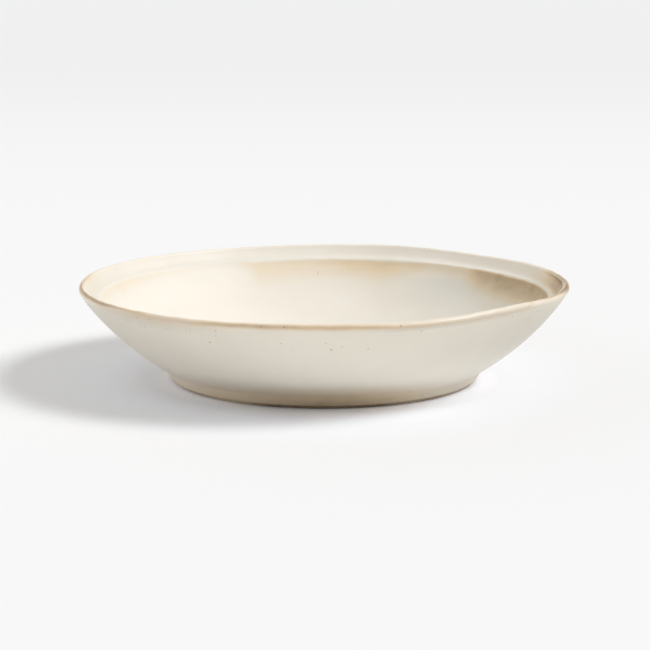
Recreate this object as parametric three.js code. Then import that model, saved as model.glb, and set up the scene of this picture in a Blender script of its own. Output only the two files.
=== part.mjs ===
// A low stoneware bowl: one fired clay body and the coats that are fused to it.
// Millimetres, +Z up. The origin is the centre of the foot, on the surface that the bowl stands on.
import * as THREE from 'three';

const { Vector2 } = THREE;
const { degToRad } = THREE.MathUtils;

// Clay body, measured bare, without its coats
const RIM_DIAMETER = 221.4; // across the outside of the lip
const BOWL_HEIGHT = 44.2; // standing face to the crest of the lip, before its swells
const LIP_THICKNESS = 2.6; // the lip is a half round of this width
const WALL_THICKNESS = 3.6; // from the foot up to the ledge
const WALL_ARC_RADIUS = 123; // the outside wall is one arc from the foot's top to the lip
const LEDGE_SETBACK = 8.9; // from the outside of the lip in to the ledge's edge
const LEDGE_WIDTH = 4; // the nearly level shelf between the ledge's edge and the band above it
const LEDGE_SLOPE = 14; // degrees that the shelf rises outwards
const LEDGE_STEP = 1.6; // height of the drop from the ledge's edge to the wall of the well
const LEDGE_ROUNDING = 1.1; // how far the rounding of the ledge's edge reaches along its sides
const BAND_COVE = 1.6; // how far the hollow between the band and the shelf reaches along both
const FLOOR_THICKNESS = 5; // between the well and the recess under it
const WELL_COVE_HEIGHT = 6; // above the floor, where the wall of the well starts to turn into it

// Foot ring, part of the same clay
const FOOT_DIAMETER = 137; // across the standing face's outer edge
const FOOT_HEIGHT = 6.6; // standing face to the hollow under the wall
const FOOT_FLARE = 4.2; // how much wider the foot is at its top, on each side
const FOOT_RING_WIDTH = 6.5; // standing face's outer edge to the recess
const FOOT_COVE = 2; // how far the hollow between foot and wall reaches along both
const FOOT_ROUNDING = 0.8; // how far the rounding of the ring's lower edges reaches
const RECESS_DEPTH = 2.8; // the hollow inside the ring, under the floor
const RECESS_COVE = 1.4; // how far the rounding at the recess's edge reaches

// Coats
const GLAZE_THICKNESS = 0.5;
const WASH_THICKNESS = 0.25; // the brown coat on the lip
const WASH_REACH = 1.5; // how far the brown coat runs down the outside, below the lip's half round
const BARE_FOOT = 1.6; // height of the clay that is left bare above the standing face
const BOND_GAP = 0.06; // between the clay and a coat
const COAT_GAP = 0.12; // between one coat's edge and the next

// The lip isn't quite level. Each swell has its bearing from +X, counter-clockwise seen from above,
// its rise or dip at the crest, and its spread, both ways, in degrees.
const LIP_SWELLS = [
  { bearing: -150, rise: -0.5, spread: 14 }, // long dip at the front left
  { bearing: -119, rise: -0.45, spread: 13 }, // its other half, towards the middle
  { bearing: -66, rise: -0.25, spread: 9 }, // slight dip right of the middle
  { bearing: -44, rise: 1.7, spread: 13 }, // clear rise at the front right
  { bearing: 12, rise: 0.35, spread: 20 }, // low rise at the right end
  { bearing: 44, rise: -0.35, spread: 10 }, // shallow dip at the back right
  { bearing: 71, rise: 0.85, spread: 12 }, // rise at the back
  { bearing: 95, rise: 0.2, spread: 9 }, // where it runs out
  { bearing: 150, rise: 0.35, spread: 22 }, // long low rise at the back left
];
const SWELL_DEPTH = 30; // how far below the lip the swells fade out

// Faceting
const ROUND_STEPS = 60; // divisions round the bowl
const WALL_STEPS = 6; // along the outside wall
const LIP_STEPS = 5; // over the lip
const WELL_STEPS = 5; // down the wall of the well
const COVE_STEPS = 3; // from that wall into the floor
const CORNER_STEPS = 2; // round a small corner
const FILLET_SHARE = 0.45; // the most of a side that a rounding at its end may take

/** A fired, non-metallic finish. */
function finish(name, color, roughness) {
  return new THREE.MeshStandardMaterial({ name, color, roughness, metalness: 0 });
}

const CLAY = finish('clay', 0xa98f6f, 0.85);
const CREAM_GLAZE = finish('cream_glaze', 0xe9e1d0, 0.3);
const BROWN_WASH = finish('brown_wash', 0xa98d6c, 0.4);

/** The unit vector at an angle in the profile plane, whose x is the radius and whose y is the height. */
function direction(angle) {
  return new Vector2(Math.cos(angle), Math.sin(angle));
}

/** The point at an angle on a circle in the profile plane. */
function onCircle(centre, radius, angle) {
  return direction(angle).multiplyScalar(radius).add(centre);
}

/** The lower of a circle's two heights at a radius from the bowl's axis. */
function lowHeightAt(centre, radius, x) {
  return centre.y - Math.sqrt(radius ** 2 - (x - centre.x) ** 2);
}

/** The outer of a circle's two radii from the bowl's axis at a height. */
function outerRadiusAt(centre, radius, y) {
  return centre.x + Math.sqrt(radius ** 2 - (y - centre.y) ** 2);
}

/** Points of an arc, both ends included. */
function arc(centre, radius, from, to, steps) {
  return new THREE.EllipseCurve(centre.x, centre.y, radius, radius, from, to, to < from).getPoints(steps);
}

/** Points of a curve that leaves `start` and reaches `end` along the lines to `corner`. */
function bend(start, corner, end, steps) {
  return new THREE.QuadraticBezierCurve(start, corner, end).getPoints(steps);
}

/** Points of a corner between two straight sides, rounded over `reach` of both, or less on a short side. */
function rounded(before, corner, after, reach, steps) {
  const room = Math.min(corner.distanceTo(before), corner.distanceTo(after)) * FILLET_SHARE;
  const taken = Math.min(reach, room);
  const start = before.clone().sub(corner).setLength(taken).add(corner);
  const end = after.clone().sub(corner).setLength(taken).add(corner);
  return bend(start, corner, end, steps);
}

/** Where two circles cross, on the side that is inwards and up from the line between their centres. */
function crossing(centreA, radiusA, centreB, radiusB) {
  const between = centreB.clone().sub(centreA);
  const length = between.length();
  const along = (radiusA ** 2 - radiusB ** 2 + length ** 2) / (2 * length);
  const across = Math.sqrt(radiusA ** 2 - along ** 2);
  const unit = between.divideScalar(length);
  const side = new Vector2(-unit.y, unit.x);
  return centreA.clone().addScaledVector(unit, along).addScaledVector(side, across);
}

/**
 * The clay's outline from the recess's centre, round the foot and over the lip to the well's centre.
 * It comes in stretches, one for each coat and each bare place, and every stretch runs on from the last.
 */
function clayOutline() {
  const rimRadius = RIM_DIAMETER / 2;
  const lipRadius = LIP_THICKNESS / 2;
  const footRadius = FOOT_DIAMETER / 2;
  const floorHeight = RECESS_DEPTH + FLOOR_THICKNESS;

  // Foot ring and recess
  const recessCentre = new Vector2(0, RECESS_DEPTH);
  const recessEdge = new Vector2(footRadius - FOOT_RING_WIDTH, RECESS_DEPTH);
  const ringInside = new Vector2(recessEdge.x, 0);
  const toe = new Vector2(footRadius, 0);
  const footTop = new Vector2(footRadius + FOOT_FLARE, FOOT_HEIGHT);
  const bareEdge = toe.clone().lerp(footTop, BARE_FOOT / FOOT_HEIGHT);
  const base = [recessCentre, ...rounded(recessCentre, recessEdge, ringInside, RECESS_COVE, CORNER_STEPS)];
  const standingRing = [
    ...rounded(recessEdge, ringInside, toe, FOOT_ROUNDING, 1),
    ...rounded(ringInside, toe, bareEdge, FOOT_ROUNDING, 1),
  ];

  // Outside wall: an arc through the foot's top that touches the lip's half round from outside
  const lipCentre = new Vector2(rimRadius - lipRadius, BOWL_HEIGHT - lipRadius);
  const wallCentre = crossing(footTop, WALL_ARC_RADIUS, lipCentre, WALL_ARC_RADIUS - lipRadius);
  const wallEndAngle = lipCentre.clone().sub(wallCentre).angle() - 2 * Math.PI;
  const footTopAngle = footTop.clone().sub(wallCentre).angle() - 2 * Math.PI;
  const coveAngle = footTopAngle + FOOT_COVE / WALL_ARC_RADIUS;
  const washAngle = wallEndAngle - WASH_REACH / WALL_ARC_RADIUS;
  const glazeEndAngle = washAngle - COAT_GAP / WALL_ARC_RADIUS;
  const coveStart = toe.clone().sub(footTop).setLength(FOOT_COVE).add(footTop);
  const coveEnd = onCircle(wallCentre, WALL_ARC_RADIUS, coveAngle);
  const outside = [
    bareEdge,
    ...bend(coveStart, footTop, coveEnd, CORNER_STEPS),
    ...arc(wallCentre, WALL_ARC_RADIUS, coveAngle, glazeEndAngle, WALL_STEPS).slice(1),
  ];

  // Ledge: the well's wall keeps its thickness up to the step, and the shelf leads out to the band
  const wellRadius = WALL_ARC_RADIUS - WALL_THICKNESS;
  const ledgeRadius = rimRadius - LEDGE_SETBACK;
  const stepFoot = new Vector2(ledgeRadius, lowHeightAt(wallCentre, wellRadius, ledgeRadius));
  const ledgeEdge = new Vector2(ledgeRadius, stepFoot.y + LEDGE_STEP);
  const shelfEnd = ledgeEdge.clone().addScaledVector(direction(degToRad(LEDGE_SLOPE)), LEDGE_WIDTH);

  // Lip: a half round from the end of the wall to the line that touches it from the shelf's outer end
  const toLip = lipCentre.clone().sub(shelfEnd);
  const bandAngle = toLip.angle() + Math.PI / 2 + Math.asin(lipRadius / toLip.length());
  const lip = [
    onCircle(wallCentre, WALL_ARC_RADIUS, washAngle),
    ...arc(lipCentre, lipRadius, wallEndAngle, bandAngle, LIP_STEPS),
  ];
  const bandTop = onCircle(lipCentre, lipRadius, bandAngle);
  const bandStart = shelfEnd.clone().sub(bandTop).setLength(COAT_GAP).add(bandTop);

  // Well: its wall turns into the floor over a long cove
  const coveTop = new Vector2(0, floorHeight + WELL_COVE_HEIGHT);
  coveTop.x = outerRadiusAt(wallCentre, wellRadius, coveTop.y);
  const coveTopAngle = coveTop.clone().sub(wallCentre).angle() - 2 * Math.PI;
  const stepFootAngle = stepFoot.clone().sub(wallCentre).angle() - 2 * Math.PI;
  const coveSlope = coveTopAngle + Math.PI / 2;
  const coveCorner = new Vector2(coveTop.x - WELL_COVE_HEIGHT / Math.tan(coveSlope), floorHeight);
  const floorEdge = new Vector2(coveCorner.x - coveCorner.distanceTo(coveTop), floorHeight);
  const inside = [
    bandStart,
    ...rounded(bandStart, shelfEnd, ledgeEdge, BAND_COVE, CORNER_STEPS),
    ...rounded(shelfEnd, ledgeEdge, stepFoot, LEDGE_ROUNDING, CORNER_STEPS),
    ...arc(wallCentre, wellRadius, stepFootAngle, coveTopAngle, WELL_STEPS),
    ...bend(coveTop, coveCorner, floorEdge, COVE_STEPS).slice(1),
    new Vector2(0, floorHeight),
  ];

  return { base, standingRing, outside, lip, inside };
}

/** The outline moved outwards, square to itself, by a distance. */
function offset(points, distance) {
  return points.map((point, i) => {
    const before = points[Math.max(i - 1, 0)];
    const after = points[Math.min(i + 1, points.length - 1)];
    const incoming = point.clone().sub(before).normalize();
    const outgoing = after.clone().sub(point).normalize();
    const along = incoming.add(outgoing).normalize();
    return point.clone().add(new Vector2(along.y, -along.x).multiplyScalar(distance));
  });
}

/** The closed profile of a coat on a stretch of the clay: its face, and its back against the clay. */
function coatProfile(stretch, thickness) {
  const face = offset(stretch, BOND_GAP + thickness);
  const back = offset(stretch, BOND_GAP).reverse();
  const startsOnAxis = stretch[0].x === 0;
  const endsOnAxis = stretch[stretch.length - 1].x === 0;
  if (endsOnAxis) return [...back, ...face];
  return startsOnAxis ? [...face, ...back] : [...face, ...back, face[0].clone()];
}

/** The smaller way round from one bearing to another, in radians. */
function turnBetween(from, to) {
  return THREE.MathUtils.euclideanModulo(to - from + Math.PI, 2 * Math.PI) - Math.PI;
}

/** How far the lip's swells lift a point of the bowl, from its bearing in radians and its height. */
function lift(bearing, height) {
  const share = Math.max(0, 1 - (BOWL_HEIGHT - height) / SWELL_DEPTH) ** 2;
  const rises = LIP_SWELLS.map((swell) => {
    const turn = turnBetween(degToRad(swell.bearing), bearing);
    return swell.rise * Math.exp(-0.5 * (turn / degToRad(swell.spread)) ** 2);
  });
  return share * rises.reduce((sum, rise) => sum + rise, 0);
}

/** A named mesh turned from a profile round +Z, with the lip's swells in it. */
function turned(name, profile, material) {
  const geometry = new THREE.LatheGeometry(profile, ROUND_STEPS).rotateX(Math.PI / 2);
  const position = geometry.getAttribute('position');
  for (let i = 0; i < position.count; i += 1) {
    const bearing = Math.atan2(position.getY(i), position.getX(i));
    position.setZ(i, position.getZ(i) + lift(bearing, position.getZ(i)));
  }
  geometry.computeVertexNormals();
  const mesh = new THREE.Mesh(geometry, material);
  mesh.name = name;
  return mesh;
}

const { base, standingRing, outside, lip, inside } = clayOutline();
const bowl = new THREE.Group();
bowl.add(
  turned('stoneware_body', [...base, ...standingRing, ...outside, ...lip, ...inside], CLAY),
  turned('inside_glaze', coatProfile(inside, GLAZE_THICKNESS), CREAM_GLAZE),
  turned('outside_glaze', coatProfile(outside, GLAZE_THICKNESS), CREAM_GLAZE),
  turned('rim_wash', coatProfile(lip, WASH_THICKNESS), BROWN_WASH),
  turned('base_glaze', coatProfile(base, GLAZE_THICKNESS), CREAM_GLAZE),
);

export default bowl;
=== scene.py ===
"""Dresses the low stoneware bowl, its clay and its glaze coats, and sets it in a plain studio."""

import logging
import math
from dataclasses import dataclass, field
from enum import Enum
from typing import Any, NamedTuple, Sequence

import bpy
import numpy as np
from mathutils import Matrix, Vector


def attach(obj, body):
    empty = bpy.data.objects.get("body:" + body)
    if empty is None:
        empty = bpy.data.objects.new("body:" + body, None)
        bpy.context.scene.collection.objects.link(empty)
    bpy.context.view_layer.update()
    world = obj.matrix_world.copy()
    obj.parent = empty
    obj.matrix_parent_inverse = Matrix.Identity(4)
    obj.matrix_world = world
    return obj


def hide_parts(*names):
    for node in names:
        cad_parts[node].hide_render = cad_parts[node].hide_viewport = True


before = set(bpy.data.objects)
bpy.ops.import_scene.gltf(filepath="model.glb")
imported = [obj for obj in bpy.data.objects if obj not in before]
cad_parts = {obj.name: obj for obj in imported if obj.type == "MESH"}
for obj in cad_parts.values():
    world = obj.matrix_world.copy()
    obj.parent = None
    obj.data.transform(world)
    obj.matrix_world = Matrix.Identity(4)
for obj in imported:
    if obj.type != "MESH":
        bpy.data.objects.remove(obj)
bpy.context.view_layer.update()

LOG = logging.getLogger("low_bowl")

MM = 0.001  # a millimetre in Blender's metres
BODY = "root"
TOAST = "toast"  # the vertex attribute that says how far the glaze has broken to brown
PAINTED_SHADE = "smoke"  # the vertex attribute that holds the painted shade, in a grey tint
NOISE_MIDDLE = 0.5  # what noise swings about

Outline = np.ndarray  # rows of radius and height, in millimetres
Colour = tuple[float, float, float, float]  # linear, with its alpha


def srgb(red: int, green: int, blue: int) -> Colour:
    """The linear colour of a screen colour given in 0 to 255, all of its parts over 10."""
    return (*(((part / 255 + 0.055) / 1.055) ** 2.4 for part in (red, green, blue)), 1.0)


class Stretch(Enum):
    """The stretches of the bowl's outline, from the recess round the foot and over the lip to the well."""

    BASE = "base"
    STANDING_RING = "standing_ring"
    OUTSIDE = "outside"
    LIP = "lip"
    INSIDE = "inside"


def line(start: np.ndarray, end: np.ndarray, steps: int) -> Outline:
    """Points of a straight line in a number of steps, both ends included."""
    return np.linspace(start, end, steps + 1)


def arc(centre: np.ndarray, radius: float, start: float, end: float, steps: int) -> Outline:
    """Points of an arc in the outline's plane, both ends included.

    Args:
        centre: The arc's centre.
        radius: Its radius.
        start: The angle that it starts at, in radians.
        end: The angle that it ends at.
        steps: How many pieces it has.

    Returns:
        The points in order.
    """
    angles = np.linspace(start, end, steps + 1)
    return centre + radius * np.column_stack([np.cos(angles), np.sin(angles)])


def on_circle(centre: np.ndarray, radius: float, angle: float) -> np.ndarray:
    """The point of a circle at an angle in radians."""
    return centre + radius * np.array([math.cos(angle), math.sin(angle)])


def bend(start: np.ndarray, corner: np.ndarray, end: np.ndarray, steps: int) -> Outline:
    """Points of a curve that leaves one point and reaches another along the lines to a corner.

    Args:
        start: Where it starts.
        corner: The corner that it rounds.
        end: Where it ends.
        steps: How many pieces it has.

    Returns:
        The points in order, both ends included.
    """
    t = np.linspace(0, 1, steps + 1)[:, None]
    return (1 - t) ** 2 * start + 2 * t * (1 - t) * corner + t**2 * end


def towards(start: np.ndarray, end: np.ndarray) -> np.ndarray:
    """The unit vector from one point to another."""
    return (end - start) / np.linalg.norm(end - start)


def rounded(before: np.ndarray, corner: np.ndarray, after: np.ndarray, reach: float, steps: int) -> Outline:
    """Points of a corner between two straight sides that is rounded off.

    Args:
        before: The point that the corner is reached from.
        corner: The corner.
        after: The point that it leads to.
        reach: How much of both sides the rounding takes.
        steps: How many pieces it has.

    Returns:
        The points in order.
    """
    start = corner + towards(corner, before) * reach
    end = corner + towards(corner, after) * reach
    return bend(start, corner, end, steps)


def flowing(start: np.ndarray, leave: np.ndarray, reach: np.ndarray, end: np.ndarray, steps: int) -> Outline:
    """Points of a double bend that leaves one point for a corner and reaches another from a second corner.

    Args:
        start: Where it starts.
        leave: The corner that it sets out for.
        reach: The corner that it comes from at its end.
        end: Where it ends.
        steps: How many pieces it has.

    Returns:
        The points in order, both ends included.
    """
    t = np.linspace(0, 1, steps + 1)[:, None]
    return (1 - t) ** 3 * start + 3 * t * (1 - t) ** 2 * leave + 3 * t**2 * (1 - t) * reach + t**3 * end


def lengths_along(points: Outline) -> np.ndarray:
    """The distance of each point from the first, along the outline."""
    return np.concatenate([[0.0], np.cumsum(np.linalg.norm(np.diff(points, axis=0), axis=1))])


def every(points: Outline, spacing: int) -> np.ndarray:
    """The places of each so many points of an outline, and of its last point."""
    return np.unique(np.append(np.arange(0, len(points), spacing), len(points) - 1))


def offset(points: Outline, distances: np.ndarray | float) -> Outline:
    """The outline moved outwards, square to itself.

    Args:
        points: The outline.
        distances: How far its points move, as one distance or one for each.

    Returns:
        The moved points.
    """
    steps = np.diff(points, axis=0)
    steps /= np.linalg.norm(steps, axis=1)[:, None]
    along = np.vstack([steps[:1], steps]) + np.vstack([steps, steps[-1:]])
    along /= np.linalg.norm(along, axis=1)[:, None]
    return points + np.column_stack([along[:, 1], -along[:, 0]]) * np.reshape(distances, (-1, 1))


@dataclass(frozen=True)
class Divisions:
    """How many short pieces each part of the outline is drawn with."""

    recess: int = 11
    recess_cove: int = 8
    ring_edge: int = 6
    foot_side: int = 5
    foot_cove: int = 8
    wall: int = 56
    wash: int = 6
    lip: int = 36
    band: int = 5
    band_cove: int = 10
    ledge: int = 18
    well: int = 44
    well_cove: int = 24
    floor: int = 25


@dataclass(frozen=True)
class BowlShape:
    """The bowl's sizes in millimetres, as the solids have them, and the outlines that follow from them."""

    rim_diameter: float = 221.4
    height: float = 44.2
    lip_thickness: float = 2.6
    wall_thickness: float = 3.6
    wall_arc_radius: float = 123.0
    ledge_setback: float = 8.9
    ledge_width: float = 4.0
    ledge_slope: float = 14.0  # degrees
    ledge_step: float = 1.6
    ledge_rounding: float = 1.0
    band_cove: float = 2.9
    step_cove: float = 2.0
    floor_thickness: float = 5.0
    well_cove_height: float = 6.0
    foot_diameter: float = 137.0
    foot_height: float = 6.6
    foot_flare: float = 4.2
    foot_ring_width: float = 6.5
    foot_cove: float = 1.5
    foot_rounding: float = 0.6
    recess_depth: float = 2.8
    recess_cove: float = 1.4
    wash_reach: float = 1.5
    bare_foot: float = 1.6
    glaze_thickness: float = 0.5
    divisions: Divisions = Divisions()

    @property
    def rim_radius(self) -> float:
        """Half the rim's diameter."""
        return self.rim_diameter / 2

    @property
    def foot_radius(self) -> float:
        """Half the standing face's outer diameter."""
        return self.foot_diameter / 2

    @property
    def well_radius(self) -> float:
        """The radius of the arc of the well's wall."""
        return self.wall_arc_radius - self.wall_thickness

    @property
    def floor_height(self) -> float:
        """The well's bare floor above the table."""
        return self.recess_depth + self.floor_thickness

    @property
    def lip_radius(self) -> float:
        """The radius of the lip's half round."""
        return self.lip_thickness / 2

    @property
    def lip_centre(self) -> np.ndarray:
        """The centre of the lip's half round."""
        return np.array([self.rim_radius - self.lip_radius, self.height - self.lip_radius])

    @property
    def toe(self) -> np.ndarray:
        """The outer edge of the standing face."""
        return np.array([self.foot_radius, 0.0])

    @property
    def foot_top(self) -> np.ndarray:
        """Where the foot's side meets the wall."""
        return np.array([self.foot_radius + self.foot_flare, self.foot_height])

    @property
    def wall_centre(self) -> np.ndarray:
        """The centre of the arc that passes the foot's top and touches the lip's half round from outside.

        Returns:
            The point, as a radius and a height.
        """
        between = self.lip_centre - self.foot_top
        length = float(np.linalg.norm(between))
        lip_side = self.wall_arc_radius - self.lip_radius
        along = (self.wall_arc_radius**2 - lip_side**2 + length**2) / (2 * length)
        across = math.sqrt(self.wall_arc_radius**2 - along**2)
        unit = between / length
        return self.foot_top + unit * along + np.array([-unit[1], unit[0]]) * across

    @property
    def step_foot(self) -> np.ndarray:
        """Where the step under the ledge's edge meets the wall of the well.

        Returns:
            The point, as a radius and a height.
        """
        centre = self.wall_centre
        x = self.rim_radius - self.ledge_setback
        return np.array([x, centre[1] - math.sqrt(self.well_radius**2 - (x - centre[0]) ** 2)])

    @property
    def ledge_edge(self) -> np.ndarray:
        """The ledge's inner edge."""
        return self.step_foot + np.array([0.0, self.ledge_step])

    @property
    def shelf_end(self) -> np.ndarray:
        """The corner between the ledge's shelf and the band above it."""
        return on_circle(self.ledge_edge, self.ledge_width, math.radians(self.ledge_slope))

    @property
    def bare_edge(self) -> np.ndarray:
        """Where the outside glaze ends on the foot's side."""
        return self.toe + (self.foot_top - self.toe) * (self.bare_foot / self.foot_height)

    @property
    def wash_angle(self) -> float:
        """Where the brown coat ends on the wall, as an angle on the wall's arc."""
        return self.angle_on_wall(self.lip_centre) - self.wash_reach / self.wall_arc_radius

    @property
    def band_angle(self) -> float:
        """The angle on the lip's half round where the band leaves it.

        Returns:
            The angle in radians.
        """
        to_lip = self.lip_centre - self.shelf_end
        lean = math.asin(self.lip_radius / float(np.linalg.norm(to_lip)))
        return math.atan2(to_lip[1], to_lip[0]) + math.pi / 2 + lean

    def angle_on_wall(self, point: np.ndarray) -> float:
        """The angle of a point as seen from the wall arc's centre."""
        away = point - self.wall_centre
        return math.atan2(away[1], away[0])

    def outline(self, stretch: Stretch) -> Outline:
        """The clay's bare outline along one stretch, running from the recess towards the well.

        Args:
            stretch: The stretch that is wanted.

        Returns:
            Its points in order.
        """
        makers = {
            Stretch.BASE: self._base,
            Stretch.STANDING_RING: self._standing_ring,
            Stretch.OUTSIDE: self._outside,
            Stretch.LIP: self._lip,
            Stretch.INSIDE: self._inside,
        }
        return makers[stretch]()

    def from_crest(self, points: np.ndarray) -> np.ndarray:
        """How far points of the glazed form lie from the lip's crest along the surface.

        Args:
            points: Points of the outside, the lip or the inside, in millimetres.

        Returns:
            Their distances, with a minus on the inside.
        """
        rows = [self.outline(s) for s in (Stretch.OUTSIDE, Stretch.LIP, Stretch.INSIDE)]
        whole = offset(np.vstack([rows[0], rows[1][1:], rows[2][1:]]), self.glaze_thickness)
        crest = int(np.argmax(whole[:, 1]))
        along = lengths_along(whole)
        outer = along[crest] - np.interp(points[:, 2], whole[: crest + 1, 1], along[: crest + 1])
        inner = np.interp(points[:, 2], whole[crest:, 1][::-1], along[crest:][::-1]) - along[crest]
        return np.where(np.hypot(points[:, 0], points[:, 1]) > whole[crest][0], outer, -inner)

    def _recess_corners(self) -> tuple[np.ndarray, np.ndarray, np.ndarray]:
        """The recess's centre, its upper edge and the standing face's inner edge."""
        inner, top = self.foot_radius - self.foot_ring_width, self.recess_depth
        return np.array([0.0, top]), np.array([inner, top]), np.array([inner, 0.0])

    def _base(self) -> Outline:
        """The recess under the floor.

        Returns:
            Its points, from the axis outwards.
        """
        centre, edge, ring = self._recess_corners()
        flat = line(centre, edge - [self.recess_cove, 0.0], self.divisions.recess)[:-1]
        return np.vstack([flat, rounded(centre, edge, ring, self.recess_cove, self.divisions.recess_cove)])

    def _standing_ring(self) -> Outline:
        """The foot ring's bare lower side.

        Returns:
            Its points, from the recess to the edge of the outside glaze.
        """
        _, edge, ring = self._recess_corners()
        inner = rounded(edge, ring, self.toe, self.foot_rounding, self.divisions.ring_edge)
        outer = rounded(ring, self.toe, self.bare_edge, self.foot_rounding, self.divisions.ring_edge)
        return np.vstack([inner, outer])

    def _outside(self) -> Outline:
        """The foot's glazed side, the hollow above it and the wall up to the edge of the glaze.

        Returns:
            Its points, from the foot upwards.
        """
        centre, radius, top = self.wall_centre, self.wall_arc_radius, self.foot_top
        cove_start = top + towards(top, self.toe) * self.foot_cove
        cove_angle = self.angle_on_wall(top) + self.foot_cove / radius
        return np.vstack([
            line(self.bare_edge, cove_start, self.divisions.foot_side)[:-1],
            bend(cove_start, top, on_circle(centre, radius, cove_angle), self.divisions.foot_cove),
            arc(centre, radius, cove_angle, self.wash_angle, self.divisions.wall)[1:],
        ])

    def _lip(self) -> Outline:
        """The end of the wall and the lip's half round.

        Returns:
            Its points, from the outside to the inside.
        """
        wall_end = self.angle_on_wall(self.lip_centre)
        wall = arc(self.wall_centre, self.wall_arc_radius, self.wash_angle, wall_end, self.divisions.wash)
        half_round = arc(self.lip_centre, self.lip_radius, wall_end, self.band_angle, self.divisions.lip)
        return np.vstack([wall[:-1], half_round])

    def _inside(self) -> Outline:
        """The band, the ledge, its step, the wall of the well and the floor.

        Returns:
            Its points, from the lip down to the axis.
        """
        shelf_end, edge, foot = self.shelf_end, self.ledge_edge, self.step_foot
        centre, radius = self.wall_centre, self.well_radius
        band_top = on_circle(self.lip_centre, self.lip_radius, self.band_angle)
        band_end = shelf_end - towards(band_top, shelf_end) * self.band_cove
        shelf_start = edge + (shelf_end - edge) / self.ledge_width * self.ledge_rounding
        step_angle = self.angle_on_wall(foot) - self.step_cove / radius
        cove_height = self.floor_height + self.well_cove_height
        cove_radius = centre[0] + math.sqrt(radius**2 - (cove_height - centre[1]) ** 2)
        cove_top = np.array([cove_radius, cove_height])
        cove_angle = self.angle_on_wall(cove_top)
        corner_radius = cove_radius - self.well_cove_height / math.tan(cove_angle + math.pi / 2)
        corner = np.array([corner_radius, self.floor_height])
        floor_edge = corner - [float(np.linalg.norm(cove_top - corner)), 0.0]
        after_step = on_circle(centre, radius, step_angle)
        return np.vstack([
            line(band_top, band_end, self.divisions.band)[:-1],
            rounded(band_top, shelf_end, edge, self.band_cove, self.divisions.band_cove),
            flowing(shelf_start, edge, foot, after_step, self.divisions.ledge)[1:],
            arc(centre, radius, step_angle, cove_angle, self.divisions.well)[1:],
            bend(cove_top, corner, floor_edge, self.divisions.well_cove)[1:],
            line(floor_edge, np.array([0.0, self.floor_height]), self.divisions.floor)[1:],
        ])


def bearings_of(points: np.ndarray) -> np.ndarray:
    """The bearings of points round the bowl's axis, in radians from +X."""
    return np.arctan2(points[:, 1], points[:, 0])


def turn_between(bearings: np.ndarray, bearing: float) -> np.ndarray:
    """The smaller way round from a bearing in degrees to each of many in radians, in degrees."""
    return (np.degrees(bearings) - bearing + 180) % 360 - 180


def hump(bearings: np.ndarray, bearing: float, spread: float) -> np.ndarray:
    """A smooth hump of height 1 at a bearing, over all bearings in radians."""
    return np.exp(-0.5 * (turn_between(bearings, bearing) / spread) ** 2)


def ridge(distances: np.ndarray, middle: np.ndarray | float, width: np.ndarray | float) -> np.ndarray:
    """A smooth ridge of height 1 at a distance, with a width to each side."""
    return np.exp(-(((distances - middle) / width) ** 2))


class Ramp(NamedTuple):
    """The two places between which something fades."""

    start: float
    end: float


def fade(values: np.ndarray, start: float, end: float) -> np.ndarray:
    """A smooth step from 1 at the start to 0 at the end."""
    t = np.clip((values - start) / (end - start), 0, 1)
    return 1 - t * t * (3 - 2 * t)


def ripple(bearings: np.ndarray, heights: np.ndarray, waves: range, slant: float) -> np.ndarray:
    """An uneven wave round the bowl, about 1 high, made of many even ones.

    Args:
        bearings: Where it is wanted, in radians.
        heights: The heights there, in millimetres.
        waves: How many crests each even wave has round the bowl.
        slant: How far the waves turn with the height, in radians for a millimetre.

    Returns:
        One value for each place.
    """
    golden = math.pi * (3 - math.sqrt(5))
    parts = [np.sin(n * bearings + golden * n * n + slant * heights * (1 + n % 3)) for n in waves]
    return sum(parts) / math.sqrt(len(waves) / 2)


@dataclass(frozen=True)
class Swell:
    """A rise or dip of the lip: its bearing and spread in degrees, and its height in millimetres."""

    bearing: float
    rise: float
    spread: float


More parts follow.
